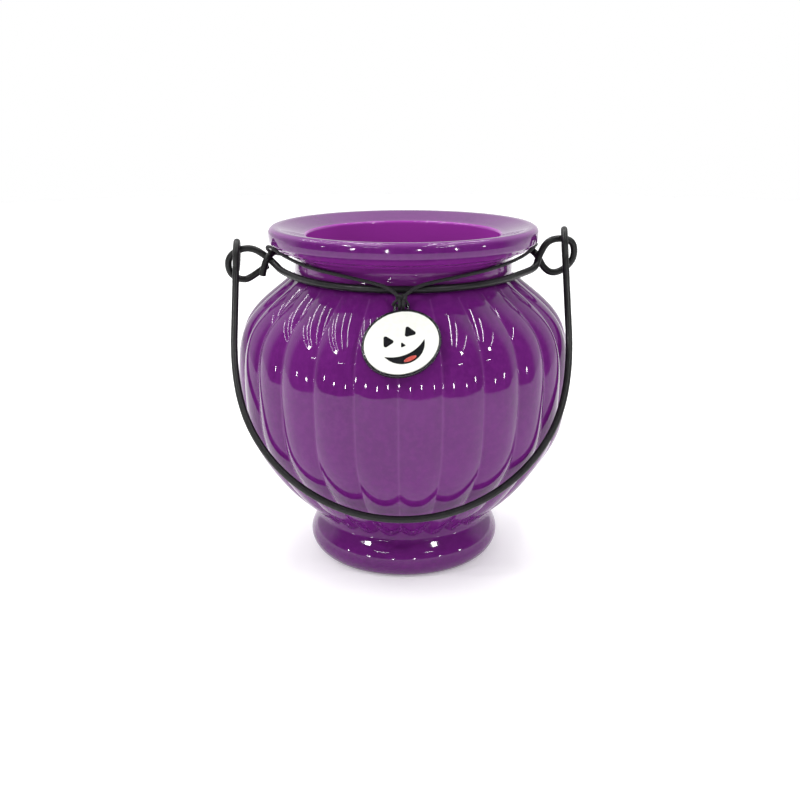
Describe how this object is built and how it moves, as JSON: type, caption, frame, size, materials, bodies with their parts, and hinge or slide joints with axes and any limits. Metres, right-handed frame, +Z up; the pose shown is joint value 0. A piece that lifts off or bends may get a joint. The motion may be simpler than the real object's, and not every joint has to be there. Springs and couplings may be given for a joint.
{
  "type": "lobed lantern jar",
  "caption": "Round lobed lantern jar with a dished rim, a flared foot, a wire collar with a swinging wire handle, and a small enamelled charm hung on a neck cord.",
  "frame": {"origin": "centre of the foot, on the surface the jar stands on", "axes": "+Z up along the jar's axis, -Y towards the front where the charm hangs, +X to the right through the handle's eyes"},
  "size_m": [0.1355, 0.1318, 0.1306],
  "materials": {
    "purple_glaze": "glossy purple glaze",
    "black_wire": "satin black coating on steel wire",
    "black_cord": "thin waxed black cord",
    "black_nickel": "polished black plate",
    "white_enamel": "glossy soft enamel",
    "black_enamel": "glossy soft enamel",
    "red_enamel": "glossy soft enamel"
  },
  "bodies": {
    "jar": {"jar": "purple_glaze", "collar_wire": "black_wire", "neck_cord": "black_cord"},
    "handle": {"bail_handle": "black_wire"},
    "knot": {"cord_knot": "black_cord"},
    "charm": {"charm_loop": "black_nickel", "charm_base": "black_nickel", "charm_white_enamel": "white_enamel", "charm_eyes": "black_enamel", "charm_nose": "black_enamel", "charm_grin": "black_enamel", "charm_tongue": "red_enamel"}
  },
  "joints": [
    {"name": "handle_swing", "type": "hinge", "parent": "jar", "child": "handle", "pos_m": [-0.0011, 0, 0.1222], "axis": [-0.9994, 0, -0.0351], "range_deg": [0, 297]},
    {"name": "charm_sway", "type": "hinge", "parent": "jar", "child": "knot", "pos_m": [-0.0007, -0.04835, 0.11141], "axis": [0, -0.788, 0.6157], "range_deg": [-20, 20]},
    {"name": "charm_flap", "type": "hinge", "parent": "knot", "child": "charm", "pos_m": [-0.0007, -0.04926, 0.10919], "axis": [-1, 0, 0], "range_deg": [0, 75]}
  ]
}
